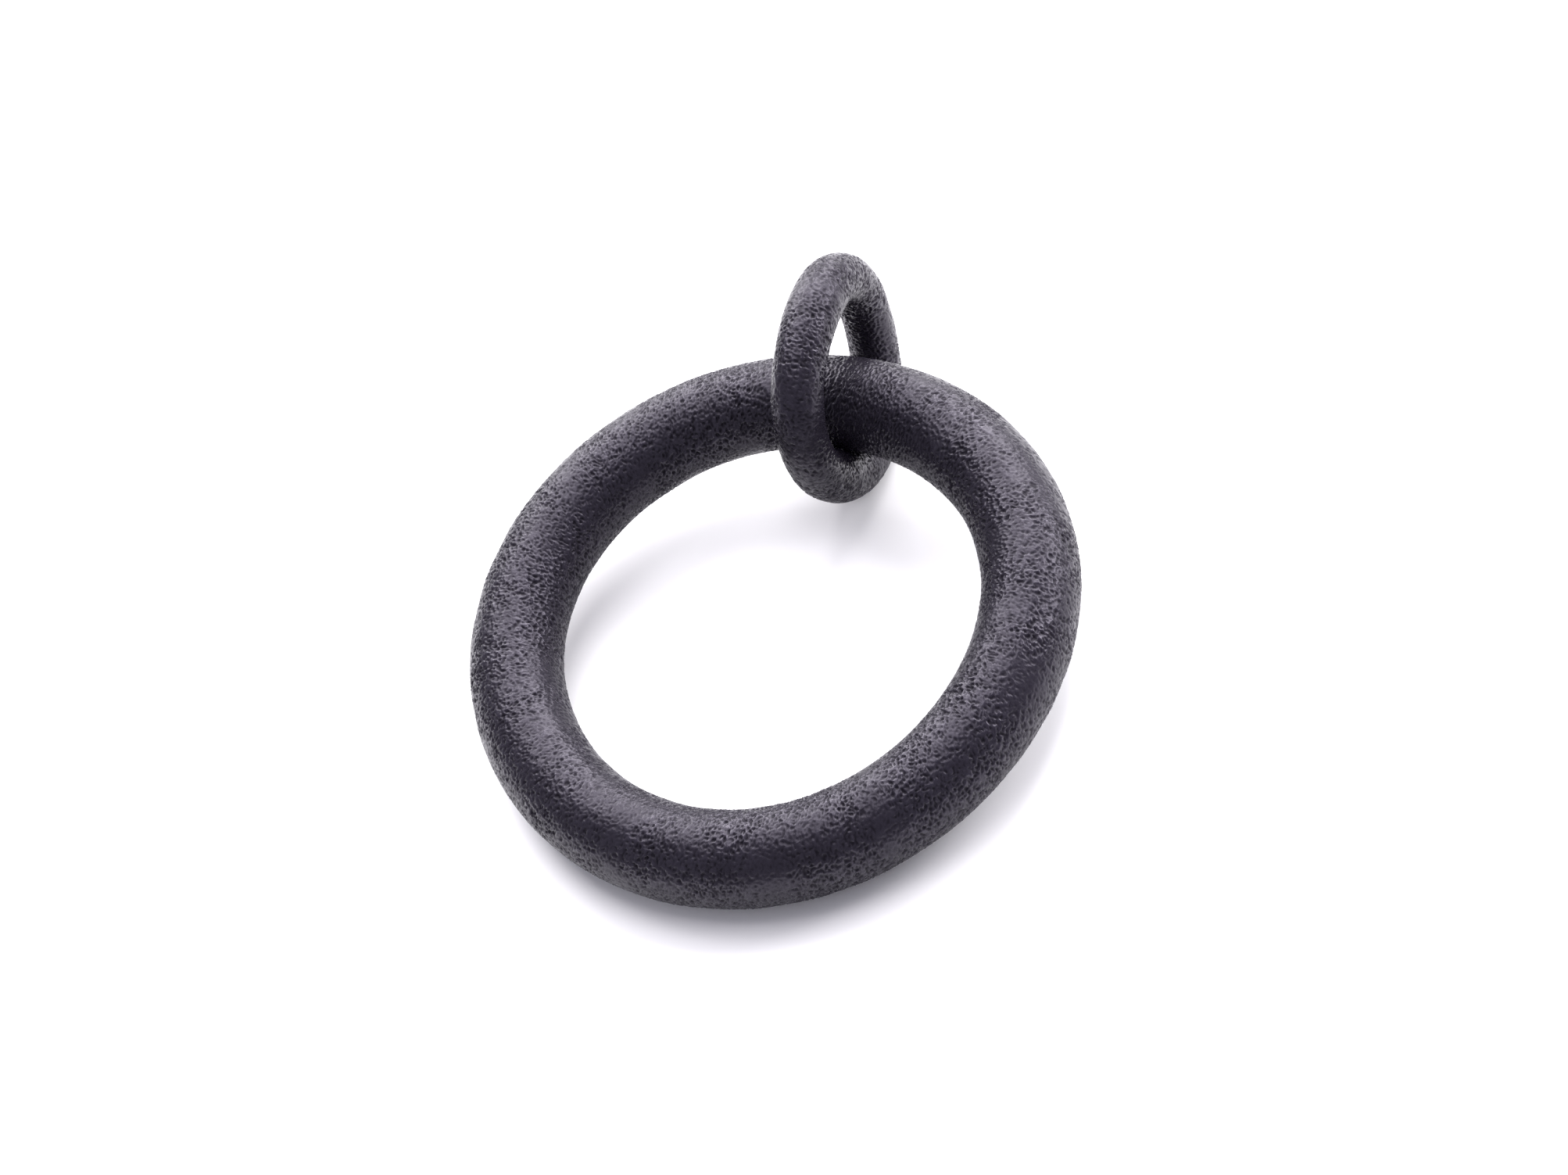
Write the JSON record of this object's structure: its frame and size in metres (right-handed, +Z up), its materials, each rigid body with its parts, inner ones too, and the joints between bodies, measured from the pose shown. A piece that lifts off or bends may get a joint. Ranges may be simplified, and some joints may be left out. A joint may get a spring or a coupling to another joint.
{
  "type": "ring door knocker",
  "caption": "Heavy round knocker ring of black coated bar, swinging in a small closed hanging ring.",
  "frame": {"origin": "on the surface that the pair lies on, under the middle of its box", "axes": "+Z up; +X along the knocker ring's bar where it passes through the hanging ring, which is the swing axis; +Y from the knocker ring towards the hanging ring"},
  "size_m": [0.1002, 0.113, 0.0412],
  "materials": {
    "knocker_coat": "matt black textured coat over hand-bent iron bar",
    "hanging_coat": "matt black textured coat over hand-bent iron bar"
  },
  "bodies": {
    "hanging_ring": {"hanging_ring": "hanging_coat"},
    "knocker_ring": {"knocker_ring": "knocker_coat"}
  },
  "joints": [
    {"name": "knocker_swing", "type": "hinge", "parent": "hanging_ring", "child": "knocker_ring", "pos_m": [0.00004, 0.0351, 0.01765], "axis": [-1, 0, 0], "continuous": true}
  ]
}
